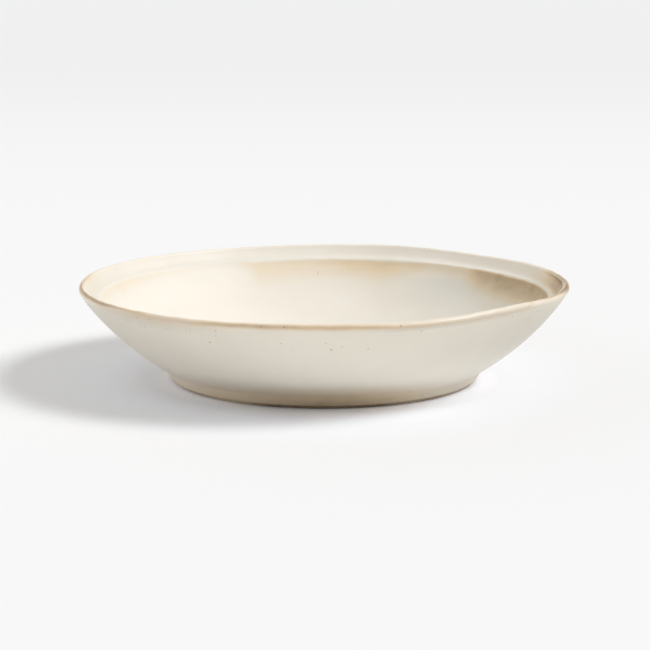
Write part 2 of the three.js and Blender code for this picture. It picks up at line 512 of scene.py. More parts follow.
@dataclass(frozen=True)
class HandShaping:
    """What the hand leaves in the turned form: swells of the lip, a soft wobble and an uneven ledge."""

    shape: BowlShape
    swells: tuple[Swell, ...] = (
        Swell(-150, -0.5, 14),
        Swell(-119, -0.45, 13),
        Swell(-66, -0.25, 9),
        Swell(-44, 1.7, 13),
        Swell(12, 0.35, 20),
        Swell(44, -0.35, 10),
        Swell(71, 0.85, 12),
        Swell(95, 0.2, 9),
        Swell(150, 0.35, 22),
    )
    swell_depth: float = 30.0
    wobble: float = 0.1
    wobble_waves: range = range(3, 17, 2)
    wobble_slant: float = 0.05
    wobble_full: float = 0.5  # the share of the bowl's height from which the wall wobbles in full
    edge_wobble: float = 0.05
    edge_waves: range = range(19, 71, 4)
    edge_slant: float = 0.12
    edge_depth: float = 7.0  # how far below the ledge's edge its wobble starts
    axis_guard: float = 1.0  # the radius inside which the wobble grows no more

    def lift(self, bearings: np.ndarray, heights: np.ndarray) -> np.ndarray:
        """How far the swells lift points, from bearings in radians and heights in millimetres."""
        share = np.clip(1 - (self.shape.height - heights) / self.swell_depth, 0, None) ** 2
        return share * sum(s.rise * hump(bearings, s.bearing, s.spread) for s in self.swells)

    def moved(self, points: np.ndarray) -> np.ndarray:
        """Points of the turned form where the hand has left them.

        Args:
            points: The points in millimetres.

        Returns:
            The moved points.
        """
        bearings = bearings_of(points)
        radii = np.hypot(points[:, 0], points[:, 1])
        heights = points[:, 2]
        out = points.copy()
        out[:, 2] += self.lift(bearings, heights)
        on_wall = 1 - fade(heights, self.shape.foot_height, self.shape.height * self.wobble_full)
        swing = self.wobble * ripple(bearings, heights, self.wobble_waves, self.wobble_slant) * on_wall
        out[:, :2] *= (1 + swing / np.maximum(radii, self.axis_guard))[:, None]
        edge = self.shape.ledge_edge[1]
        near_rim = 1 - fade(heights, edge - self.edge_depth, edge)
        swing = self.edge_wobble * ripple(bearings, heights, self.edge_waves, self.edge_slant) * near_rim
        out[:, 2] += swing
        return out


@dataclass(frozen=True)
class Tone:
    """How strong a tone is at a bearing in degrees."""

    bearing: float
    strength: float


@dataclass(frozen=True)
class WallTone:
    """How strong the painted shade is at a bearing in degrees, under the lip and low on the wall."""

    bearing: float
    strength: float
    low: float


@dataclass(frozen=True)
class FootTone:
    """Painted shade at the foot: its bearing and spread in degrees, and the heights between which it ends.
    """

    bearing: float
    spread: float
    strength: float
    fall: Ramp

    def grey(self, bearings: np.ndarray, heights: np.ndarray) -> np.ndarray:
        """How strong the painted shade is at bearings in radians and heights in millimetres."""
        return self.strength * hump(bearings, self.bearing, self.spread) * fade(heights, *self.fall)


@dataclass(frozen=True)
class LipTone:
    """The lip's brown at a bearing in degrees: a line along the lip and a soft skirt below it.

    The line's distance outwards from the crest, its width and the skirt's reach are in millimetres.
    """

    bearing: float
    line: float
    width: float
    strength: float
    skirt: float
    reach: float


@dataclass(frozen=True)
class LedgeTone:
    """The brown under the ledge's edge at a bearing in degrees: its strength, depth and start.

    The depth and the start, a distance in from the lip's crest, are in millimetres.
    """

    bearing: float
    strength: float
    depth: float
    start: float = 10.95


@dataclass(frozen=True)
class Patch:
    """A soft patch of painted shade: its bearing and spread in degrees, and how far in from the lip's crest
    it lies.

    Its middle and width, across the bowl, are in millimetres.
    """

    bearing: float
    spread: float
    middle: float
    width: float
    strength: float

    def grey(self, bearings: np.ndarray, inwards: np.ndarray) -> np.ndarray:
        """How strong the painted shade is at bearings in radians and distances in from the crest."""
        to_sides = hump(bearings, self.bearing, self.spread)
        return self.strength * to_sides * ridge(inwards, self.middle, self.width)


def around(rows: Sequence[Any], name: str, bearings: np.ndarray) -> np.ndarray:
    """One field of rows that are given at some bearings, for all bearings in radians."""
    places = [row.bearing for row in rows]
    return np.interp(np.degrees(bearings), places, [getattr(row, name) for row in rows], period=360)


@dataclass(frozen=True)
class Toasting:
    """Where the glaze breaks to brown over the lip and under the ledge's edge, and the brown at the foot and
    low on the wall, which is partly painted shade.
    """

    shape: BowlShape
    lip_rows: tuple[LipTone, ...] = (
        LipTone(-172, 0.5, 1.3, 0.72, 0.04, 4.0),
        LipTone(-160, 1.3, 1.1, 0.62, 0.06, 4.0),
        LipTone(-150, 1.6, 0.9, 0.62, 0.08, 6.0),
        LipTone(-141, 1.2, 0.7, 0.38, 0.1, 9.0),
        LipTone(-130, 2.0, 1.6, 0.05, 0.15, 11.0),
        LipTone(-120, 2.3, 1.2, 0.11, 0.13, 9.0),
        LipTone(-110, 2.1, 0.9, 0.4, 0.14, 6.5),
        LipTone(-90, 2.3, 1.0, 0.34, 0.16, 5.8),
        LipTone(-80, 2.5, 0.8, 0.34, 0.14, 5.8),
        LipTone(-70, 2.9, 0.8, 0.15, 0.1, 6.0),
        LipTone(-60, 3.0, 0.9, 0.08, 0.08, 6.5),
        LipTone(-45, 3.3, 1.2, 0.03, 0.09, 7.0),
        LipTone(-39, 3.0, 1.2, 0.04, 0.1, 6.5),
        LipTone(-35, -0.2, 1.0, 0.2, 0.1, 6.0),
        LipTone(-30, 0.0, 1.0, 0.85, 0.11, 5.5),
        LipTone(-20, 0.1, 1.2, 0.88, 0.11, 5.0),
        LipTone(-10, 1.1, 2.2, 0.86, 0.1, 5.0),
        LipTone(2, -0.6, 2.1, 0.74, 0.06, 4.5),
        LipTone(12, -1.3, 1.6, 0.42, 0.06, 4.5),
        LipTone(18, -1.0, 1.2, 0.08, 0.04, 4.5),
        LipTone(25, 2.4, 0.9, 0.2, 0.02, 5.0),
        LipTone(60, 2.4, 0.9, 0.32, 0.02, 5.0),
        LipTone(110, 2.4, 0.9, 0.3, 0.02, 5.0),
        LipTone(152, 2.2, 0.9, 0.26, 0.03, 5.0),
        LipTone(166, -0.2, 1.0, 0.12, 0.04, 4.0),
        LipTone(176, -0.2, 1.8, 0.46, 0.05, 4.0),
    )
    skirt_rise: Ramp = Ramp(-3.2, 1.3)
    second_line: float = 4.2
    second_width: float = 0.5
    second_rows: tuple[Tone, ...] = (Tone(-160, 0.0), Tone(-150, 0.1), Tone(-132, 0.1), Tone(-122, 0.0))
    ledge_rows: tuple[LedgeTone, ...] = (
        LedgeTone(-150, 0.12, 6.0),
        LedgeTone(-110, 0.16, 7.0),
        LedgeTone(-60, 0.35, 10.0),
        LedgeTone(-25, 0.6, 16.0),
        LedgeTone(0, 0.66, 16.5),
        LedgeTone(10, 0.72, 17.0, 10.75),
        LedgeTone(20, 0.71, 17.5, 10.85),
        LedgeTone(30, 0.69, 17.5, 11.2),
        LedgeTone(40, 0.63, 14.0, 10.6),
        LedgeTone(44, 0.47, 11.5, 10.5),
        LedgeTone(48, 0.19, 10.5, 10.3),
        LedgeTone(58, 0.21, 9.0, 10.4),
        LedgeTone(66, 0.27, 11.0, 11.4),
        LedgeTone(72, 0.32, 16.0, 11.6),
        LedgeTone(80, 0.31, 14.5, 11.3),
        LedgeTone(86, 0.25, 15.0),
        LedgeTone(92, 0.18, 16.0),
        LedgeTone(104, 0.19, 17.0, 11.3),
        LedgeTone(110, 0.18, 17.0, 11.5),
        LedgeTone(112.5, 0.1, 12.0),
        LedgeTone(117, 0.02, 6.0),
        LedgeTone(130, 0.02, 4.0),
        LedgeTone(145, 0.08, 6.0),
        LedgeTone(156, 0.12, 8.0),
        LedgeTone(170, 0.1, 8.0),
    )
    ledge_rise: Ramp = Ramp(-1.2, 0.5)  # past the row's start
    ledge_near: Ramp = Ramp(0.06, 0.9)  # in shares of the row's depth, as the next one is
    ledge_far: Ramp = Ramp(0.1, 1.5)
    ledge_near_share: float = 0.7
    band_rows: tuple[Tone, ...] = (
        Tone(-100, 0.04),
        Tone(-40, 0.1),
        Tone(-15, 0.5),
        Tone(0, 0.68),
        Tone(8, 0.46),
        Tone(16, 0.18),
        Tone(25, 0.07),
        Tone(45, 0.03),
        Tone(75, 0.02),
        Tone(100, 0.0),
        Tone(160, 0.03),
        Tone(178, 0.1),
    )
    band_rise: Ramp = Ramp(0.4, 2.2)
    band_fall: Ramp = Ramp(5.6, 11.0)
    # brown at the foot, partly painted shade, deepest in front
    foot_brown_and_shade_rows: tuple[Tone, ...] = (
        Tone(-150, 0.14),
        Tone(-120, 0.28),
        Tone(-90, 0.54),
        Tone(-66, 0.36),
        Tone(-45, 0.14),
        Tone(90, 0.2),
    )
    foot_fall: Ramp = Ramp(1.5, 13.0)  # heights, as the next one is
    low_fall: Ramp = Ramp(8.0, 22.0)
    # painted shade low on the wall, in a brown tint
    low_shade_rows: tuple[Tone, ...] = (
        Tone(-170, 0.05),
        Tone(-150, 0.05),
        Tone(-130, 0.045),
        Tone(-90, 0.045),
        Tone(-80, 0.055),
        Tone(-70, 0.035),
        Tone(-60, 0.012),
        Tone(-50, 0.0),
        Tone(90, 0.02),
    )
    base: float = 0.1

    def amount(self, points: np.ndarray, stretch: Stretch) -> np.ndarray:
        """How brown the glaze is at points of the turned form, from 0 to 1.

        Args:
            points: The points in millimetres, before the hand moved them.
            stretch: The stretch of the outline that they lie on.

        Returns:
            One value for each point.
        """
        if stretch is Stretch.BASE:
            return np.full(len(points), self.base)
        bearings = bearings_of(points)
        outwards = self.shape.from_crest(points)
        lip = self._lip(bearings, outwards)
        if stretch is Stretch.OUTSIDE:
            # the foot's brown and the low wall's tone are partly painted shade
            foot = around(self.foot_brown_and_shade_rows, "strength", bearings) * fade(points[:, 2], *self.foot_fall)
            low = around(self.low_shade_rows, "strength", bearings) * fade(points[:, 2], *self.low_fall)
            return np.maximum(lip, foot + low)
        if stretch is Stretch.INSIDE:
            return lip + self._inside(bearings, -outwards)
        return lip

    def _lip(self, bearings: np.ndarray, outwards: np.ndarray) -> np.ndarray:
        """How brown the lip and the wall below it are.

        Args:
            bearings: The places' bearings, in radians.
            outwards: Their distances from the crest, in millimetres.

        Returns:
            One value for each place.
        """
        middle = around(self.lip_rows, "line", bearings)
        width = around(self.lip_rows, "width", bearings)
        core = around(self.lip_rows, "strength", bearings) * ridge(outwards, middle, width)
        reach = around(self.lip_rows, "reach", bearings)
        below = np.clip((outwards - middle) / (reach - middle), 0, 1)
        above = 1 - fade(outwards, *self.skirt_rise)
        skirt = around(self.lip_rows, "skirt", bearings) * fade(below, 0, 1) * above
        second = around(self.second_rows, "strength", bearings)
        return core + skirt + second * ridge(outwards, self.second_line, self.second_width)

    def _inside(self, bearings: np.ndarray, inwards: np.ndarray) -> np.ndarray:
        """How brown the band and the well under the ledge's edge are.

        Args:
            bearings: The places' bearings, in radians.
            inwards: Their distances in from the crest, in millimetres.

        Returns:
            One value for each place.
        """
        band = around(self.band_rows, "strength", bearings)
        band = band * (1 - fade(inwards, *self.band_rise)) * fade(inwards, *self.band_fall)
        drop = inwards - around(self.ledge_rows, "start", bearings)
        share = drop / around(self.ledge_rows, "depth", bearings)
        near = self.ledge_near_share * fade(share, *self.ledge_near)
        far = (1 - self.ledge_near_share) * fade(share, *self.ledge_far)
        under = around(self.ledge_rows, "strength", bearings) * (near + far)
        return band + under * (1 - fade(drop, *self.ledge_rise))


@dataclass(frozen=True)
class PaintedShade:
    """Painted shade, in a grey tint: on the wall, at the foot, under the lip and in the well."""

    shape: BowlShape
    # painted shade on the outside wall, strongest on the right side and on the left
    wall_rows: tuple[WallTone, ...] = (
        WallTone(-170, 0.4, 0.2),
        WallTone(-160, 0.45, 0.22),
        WallTone(-150, 0.55, 0.25),
        WallTone(-135, 0.4, 0.2),
        WallTone(-120, 0.34, 0.2),
        WallTone(-110, 0.3, 0.14),
        WallTone(-98, 0.1, 0.0),
        WallTone(-85, 0.0, 0.04),
        WallTone(-70, 0.06, 0.1),
        WallTone(-60, 0.3, 0.08),
        WallTone(-48, 0.55, 0.05),
        WallTone(-35, 1.0, 0.16),
        WallTone(-10, 1.0, 0.25),
        WallTone(40, 0.6, 0.24),
    )
    wall_rise: Ramp = Ramp(10.0, 32.0)  # heights
    # painted shade at the foot, deepest in front, where little light reaches
    foot_tones: tuple[FootTone, ...] = (
        FootTone(-96, 30, 0.85, Ramp(9.0, 16.0)),
        FootTone(-33, 13, 0.3, Ramp(5.5, 9.0)),
    )
    # painted shade on the bare standing ring, deepest in front
    ring_bearing: float = -90.0
    ring_reach: Ramp = Ramp(16.0, 32.0)  # degrees to each side
    # painted shade in a grey tint on and under the lip, on the left and at the front-right, and the crest's
    # at the right end
    lip_rows: tuple[Tone, ...] = (
        Tone(-162, 0.0),
        Tone(-150, 0.5),
        Tone(-140, 0.8),
        Tone(-120, 0.5),
        Tone(-110, 0.12),
        Tone(-82, 0.06),
        Tone(-70, 0.7),
        Tone(-60, 0.8),
        Tone(-48, 1.0),
        Tone(-10, 1.0),
        Tone(20, 0.0),
    )
    lip_rise: Ramp = Ramp(1.0, 3.3)  # outwards from the crest, as the next one is
    lip_fall: Ramp = Ramp(3.2, 4.6)
    lip_low_share: float = 0.7
    crest: Patch = Patch(-16, 10, 0.2, 1.2, 1.0)
    left_bearing: float = -140.0  # round here the painted shade under the lip runs on down the wall
    left_reach: Ramp = Ramp(25.0, 45.0)  # degrees to each side
    left_rise: Ramp = Ramp(35.0, 39.5)  # heights
    # painted shade in the well's right side, under the right rim
    well_bearing: float = 20.0
    well_reach: Ramp = Ramp(26.0, 55.0)  # degrees to each side
    well_rise: Ramp = Ramp(14.0, 20.0)  # inwards from the crest, as the next one is
    well_fall: Ramp = Ramp(26.0, 42.0)
    well_strength: float = 0.26
    # soft patches of painted shade, under the ledge's edge and at the band's ends
    patches: tuple[Patch, ...] = (
        Patch(0, 16, 9.3, 1.5, 0.42),
        Patch(122, 20, 1.6, 1.5, 0.3),
        Patch(180, 14, 5.5, 3.5, 0.25),
        Patch(36, 20, 21.5, 3.5, 0.15),
        Patch(49, 5, 16.0, 6.0, 0.2),
        Patch(120, 6.5, 10.4, 0.5, 0.35),
        Patch(138, 14, 15.0, 6.0, 0.09),
    )

    def amount(self, points: np.ndarray, stretch: Stretch) -> np.ndarray:
        """How much painted shade the bowl has at points of the turned form, from 0 to 1.

        Args:
            points: The points in millimetres, before the hand moved them.
            stretch: The stretch of the outline that they lie on.

        Returns:
            One value for each point.
        """
        bearings = bearings_of(points)
        if stretch is Stretch.STANDING_RING:
            return fade(np.abs(turn_between(bearings, self.ring_bearing)), *self.ring_reach)
        if stretch is Stretch.OUTSIDE:
            return self._outside(bearings, points[:, 2])
        if stretch is Stretch.LIP:
            return self._lip(bearings, self.shape.from_crest(points))
        if stretch is Stretch.INSIDE:
            return self._inside(bearings, -self.shape.from_crest(points))
        return np.zeros(len(points))

    def _outside(self, bearings: np.ndarray, heights: np.ndarray) -> np.ndarray:
        """How much painted shade the outside has.

        Args:
            bearings: The places' bearings, in radians.
            heights: Their heights, in millimetres.

        Returns:
            One value for each place.
        """
        low = around(self.wall_rows, "low", bearings)
        high = around(self.wall_rows, "strength", bearings)
        wall = low + (high - low) * (1 - fade(heights, *self.wall_rise))
        at_foot = sum(tone.grey(bearings, heights) for tone in self.foot_tones)
        to_left = fade(np.abs(turn_between(bearings, self.left_bearing)), *self.left_reach)
        under_lip = around(self.lip_rows, "strength", bearings) * to_left
        under_lip = under_lip * (1 - fade(heights, *self.left_rise))
        return np.maximum(wall + at_foot, under_lip)

    def _lip(self, bearings: np.ndarray, outwards: np.ndarray) -> np.ndarray:
        """How much painted shade the lip has.

        Args:
            bearings: The places' bearings, in radians.
            outwards: Their distances from the crest, in millimetres.

        Returns:
            One value for each place.
        """
        share = self.lip_low_share + (1 - self.lip_low_share) * fade(outwards, *self.lip_fall)
        below = around(self.lip_rows, "strength", bearings) * (1 - fade(outwards, *self.lip_rise)) * share
        return np.maximum(below, self.crest.grey(bearings, -outwards))

    def _inside(self, bearings: np.ndarray, inwards: np.ndarray) -> np.ndarray:
        """How much painted shade the inside has.

        Args:
            bearings: The places' bearings, in radians.
            inwards: Their distances in from the crest, in millimetres.

        Returns:
            One value for each place.
        """
        to_side = fade(np.abs(turn_between(bearings, self.well_bearing)), *self.well_reach)
        across = (1 - fade(inwards, *self.well_rise)) * fade(inwards, *self.well_fall)
        return self.well_strength * to_side * across + sum(p.grey(bearings, inwards) for p in self.patches)


@dataclass(frozen=True)
class Potter:
    """Models turned pieces with Blender's own tools."""

    segments: int = 360
    merge_distance: float = 1e-6
    crease_angle: float = math.radians(50)

    def turn(self, name: str, outline: Outline, closed: bool) -> bpy.types.Object:
        """Draws an outline by extruding one vertex, and spins it round the bowl's axis.

        Args:
            name: The new object's name.
            outline: The outline, in millimetres, from its first point to its last.
            closed: Whether the last point is joined to the first.

        Returns:
            The closed piece, with its faces pointing out.
        """
        bpy.ops.object.select_all(action="DESELECT")
        start = (outline[0][0] * MM, 0.0, outline[0][1] * MM)
        bpy.ops.mesh.primitive_plane_add(size=MM, location=start)
        piece = bpy.context.object
        piece.name = name
        piece.data.name = name
        bpy.ops.object.transform_apply(location=True, rotation=True, scale=True)
        bpy.ops.object.mode_set(mode="EDIT")
        bpy.ops.mesh.select_mode(type="VERT")
        bpy.ops.mesh.select_all(action="SELECT")
        bpy.ops.mesh.merge(type="CENTER")
        for step in np.diff(outline, axis=0) * MM:
            move = {"value": (step[0], 0.0, step[1])}
            bpy.ops.mesh.extrude_region_move(TRANSFORM_OT_translate=move)
        if closed:
            self._join_ends(piece)
        bpy.ops.mesh.select_all(action="SELECT")
        bpy.ops.mesh.spin(steps=self.segments, angle=2 * math.pi, center=(0, 0, 0), axis=(0, 0, 1))
        bpy.ops.mesh.select_all(action="SELECT")
        bpy.ops.mesh.remove_doubles(threshold=self.merge_distance)
        bpy.ops.mesh.normals_make_consistent(inside=False)
        bpy.ops.object.mode_set(mode="OBJECT")
        bpy.ops.object.shade_smooth_by_angle(angle=self.crease_angle)
        return piece

    @staticmethod
    def _join_ends(piece: bpy.types.Object) -> None:
        """Selects the two open ends of the drawn outline and joins them by an edge.

        Args:
            piece: The drawn outline, in edit mode.
        """
        bpy.ops.mesh.select_all(action="DESELECT")
        bpy.ops.object.mode_set(mode="OBJECT")
        vertices = piece.data.vertices
        uses = np.bincount([v for edge in piece.data.edges for v in edge.vertices], minlength=len(vertices))
        for vertex in vertices:
            vertex.select = bool(uses[vertex.index] == 1)
        bpy.ops.object.mode_set(mode="EDIT")
        bpy.ops.mesh.edge_face_add()

    @staticmethod
    def points(piece: bpy.types.Object) -> np.ndarray:
        """A piece's vertices.

        Args:
            piece: The piece.

        Returns:
            Their places in millimetres.
        """
        flat = np.empty(len(piece.data.vertices) * 3)
        piece.data.vertices.foreach_get("co", flat)
        return flat.reshape(-1, 3) / MM

    @staticmethod
    def place(piece: bpy.types.Object, points: np.ndarray) -> None:
        """Moves a piece's vertices to points in millimetres."""
        piece.data.vertices.foreach_set("co", (points * MM).ravel())
        piece.data.update()

    @staticmethod
    def paint(piece: bpy.types.Object, attribute: str, values: np.ndarray) -> None:
        """Stores one value for each vertex under an attribute's name."""
        layer = piece.data.attributes.new(attribute, "FLOAT", "POINT")
        layer.data.foreach_set("value", values.astype(np.float32))


@dataclass(frozen=True)
class Speck:
    """An iron speck: its bearing in degrees, and its height and radius on the turned form in millimetres."""

    bearing: float
    height: float
    radius: float
    strength: float = 0.42
    core: float = 0.3  # the share of its radius that is fully dark


@dataclass(frozen=True)
class Run:
    """A thin upright run in the glaze: bearing in degrees, middle, width and length in millimetres."""

    bearing: float
    height: float
    width: float
    length: float
    strength: float = 0.14
    facing: float = -90.0  # the bearing that it lies flat to, in degrees
    core: float = 0.2  # how much of its length, to each side of its middle, is fully dark


@dataclass(frozen=True)
class Mark:
    """A speck or run where it lies on the finished piece, with its place in metres."""

    place: tuple[float, float, float]
    sort: Speck | Run


class Sock:
    """A shader socket that can be used in Python expressions, each of which adds a Math node."""

    def __init__(self, graph: "Graph", socket: bpy.types.NodeSocket) -> None:
        """Wraps an output socket of a graph."""
        self.graph = graph
        self.socket = socket

    def _maths(self, operation: str, first: Any, second: Any) -> "Sock":
        """A Math node on two values."""
        return self.graph.node("ShaderNodeMath", {"operation": operation}, {0: first, 1: second})

    def __add__(self, other: Any) -> "Sock":
        """Adds a value."""
        return self._maths("ADD", self, other)

    def __radd__(self, other: Any) -> "Sock":
        """Adds to a value."""
        return self._maths("ADD", other, self)

    def __sub__(self, other: Any) -> "Sock":
        """Takes a value away."""
        return self._maths("SUBTRACT", self, other)

    def __rsub__(self, other: Any) -> "Sock":
        """Takes this from a value."""
        return self._maths("SUBTRACT", other, self)

    def __mul__(self, other: Any) -> "Sock":
        """Multiplies by a value."""
        return self._maths("MULTIPLY", self, other)

    def __rmul__(self, other: Any) -> "Sock":
        """Multiplies a value by this."""
        return self._maths("MULTIPLY", other, self)

    def size(self) -> "Sock":
        """This without its sign."""
        return self._maths("ABSOLUTE", self, 0.0)

    def larger(self, other: Any) -> "Sock":
        """The larger of this and a value."""
        return self._maths("MAXIMUM", self, other)


class Graph:
    """A material's or the world's node tree, with one method that adds any node."""

    def __init__(self, owner: bpy.types.Material | bpy.types.World) -> None:
        """Takes an owner's node tree and empties it.

        Args:
            owner: The material or world.
        """
        owner.use_nodes = True
        self.tree = owner.node_tree
        self.tree.nodes.clear()

    @staticmethod
    def _find(sockets: Any, key: int | str) -> bpy.types.NodeSocket:
        """A socket of a node.

        Args:
            sockets: The node's inputs or outputs.
            key: The socket's place, or its identifier or name.

        Returns:
            The socket.
        """
        if isinstance(key, int):
            return sockets[key]
        return next((s for s in sockets if s.identifier == key), None) or sockets[key]

    def node(
        self,
        kind: str,
        settings: dict[str, Any] | None = None,
        inputs: dict[int | str, Any] | None = None,
        output: int | str = 0,
    ) -> Sock:
        """Adds a node.

        Args:
            kind: The node's type.
            settings: Its properties, which are set first.
            inputs: The values or links of its sockets.
            output: The socket that is handed back.

        Returns:
            The wrapped output socket, which is empty for a node that has none.
        """
        made = self.tree.nodes.new(kind)
        for name, value in (settings or {}).items():
            setattr(made, name, value)
        for key, value in (inputs or {}).items():
            socket = self._find(made.inputs, key)
            if isinstance(value, Sock):
                self.tree.links.new(value.socket, socket)
            else:
                socket.default_value = value
        return Sock(self, self._find(made.outputs, output) if len(made.outputs) else None)

    def place(self) -> Sock:
        """The piece's own coordinates, in metres."""
        return self.node("ShaderNodeTexCoord", output="Object")

    def painted(self, attribute: str) -> Sock:
        """The value that a piece's vertices hold under an attribute's name."""
        return self.node("ShaderNodeAttribute", {"attribute_name": attribute}, output="Fac")

    def part(self, vector: Sock, axis: str) -> Sock:
        """A vector's part along X, Y or Z."""
        return self.node("ShaderNodeSeparateXYZ", {}, {0: vector}, axis)

    def vector(self, operation: str, *inputs: Any, output: str = "Vector") -> Sock:
        """A Vector Math node on some vectors."""
        return self.node("ShaderNodeVectorMath", {"operation": operation}, dict(enumerate(inputs)), output)

    def noise(
        self, at: Sock, size: float, detail: float = 2.0, roughness: float = 0.5, output: str = "Fac"
    ) -> Sock:
        """Noise between 0 and 1.

        Args:
            at: The coordinates.
            size: The size of its features, in millimetres.
            detail: How many finer layers it has.
            roughness: How strong the finer layers are.
            output: The socket that is handed back.

        Returns:
            The noise.
        """
        inputs = {"Vector": at, "Scale": 1 / (size * MM), "Detail": detail, "Roughness": roughness}
        return self.node("ShaderNodeTexNoise", {}, inputs, output)

    def climb(self, value: Sock, start: float, end: float, shape: str = "LINEAR") -> Sock:
        """A climb from 0 at the start to 1 at the end.

        Args:
            value: What climbs.
            start: Its value at 0.
            end: Its value at 1.
            shape: The kind of interpolation.

        Returns:
            A value from 0 to 1.
        """
        inputs = {"Value": value, "From Min": start, "From Max": end, "To Min": 0.0, "To Max": 1.0}
        return self.node("ShaderNodeMapRange", {"interpolation_type": shape}, inputs)

    def step(self, value: Sock, start: float, end: float) -> Sock:
        """A smooth step from 0 at the start to 1 at the end."""
        return self.climb(value, start, end, "SMOOTHSTEP")

    def mix(self, factor: Any, first: Any, second: Any, blend: str = "MIX") -> Sock:
        """One colour turned into another.

        Args:
            factor: How far it is turned, from 0 to 1.
            first: The colour at 0.
            second: The colour that is blended in.
            blend: How it is blended in.

        Returns:
            The mixed colour.
        """
        settings = {"data_type": "RGBA", "blend_type": blend}
        inputs = {"Factor_Float": factor, "A_Color": first, "B_Color": second}
        return self.node("ShaderNodeMix", settings, inputs, "Result_Color")

    def frayed(self, at: Sock, size: float, amount: float) -> Sock:
        """Coordinates that noise pulls to and fro.

        Args:
            at: The coordinates.
            size: The size of the noise's features, in millimetres.
            amount: How far it pulls, in millimetres.

        Returns:
            The pulled coordinates.
        """
        pull = self.vector("SUBTRACT", self.noise(at, size, output="Color"), (NOISE_MIDDLE,) * 3)
        return self.vector("MULTIPLY_ADD", pull, (2 * amount * MM,) * 3, at)

    def specks(self, at: Sock, spacing: float, radius: float, core: float = 0.45) -> Sock:
        """Scattered round specks, 1 inside and 0 outside.

        Args:
            at: The coordinates.
            spacing: How far apart they are, in millimetres.
            radius: Their radius, in millimetres.
            core: The share of the radius that is fully dark.

        Returns:
            A value from 0 to 1.
        """
        inputs = {"Vector": at, "Scale": 1 / (spacing * MM)}
        distance = self.node("ShaderNodeTexVoronoi", {}, inputs, "Distance")
        return 1 - self.step(distance, core * radius / spacing, radius / spacing)

    def mark(self, at: Sock, mark: Mark) -> Sock:
        """One speck or run.

        Args:
            at: The coordinates.
            mark: The speck or run and its place.

        Returns:
            A value that is as strong as the mark says at its middle, and 0 outside it.
        """
        sort = mark.sort
        if isinstance(sort, Speck):
            away = self.vector("DISTANCE", at, mark.place, output="Value")
            return (1 - self.step(away, sort.core * sort.radius * MM, sort.radius * MM)) * sort.strength
        facing = math.radians(sort.facing)
        sideways = (-math.sin(facing), math.cos(facing), 0.0)
        apart = self.vector("SUBTRACT", at, mark.place)
        across = self.vector("DOT_PRODUCT", apart, sideways, output="Value").size()
        along = self.part(apart, "Z").size()
        narrow = 1 - self.step(across, 0.0, sort.width * MM)
        short = 1 - self.step(along, sort.core * sort.length * MM, sort.length / 2 * MM)
        return narrow * short * sort.strength

    def relief(self, height: Sock, depth: float, strength: float) -> Sock:
        """A Bump node for a height, with its depth in millimetres and its strength."""
        inputs = {"Strength": strength, "Distance": depth * MM, "Height": height}
        return self.node("ShaderNodeBump", {}, inputs)

    def surface(self, shader: Sock) -> None:
        """Shows a shader as the material's surface."""
        self.node("ShaderNodeOutputMaterial", {}, {"Surface": shader})


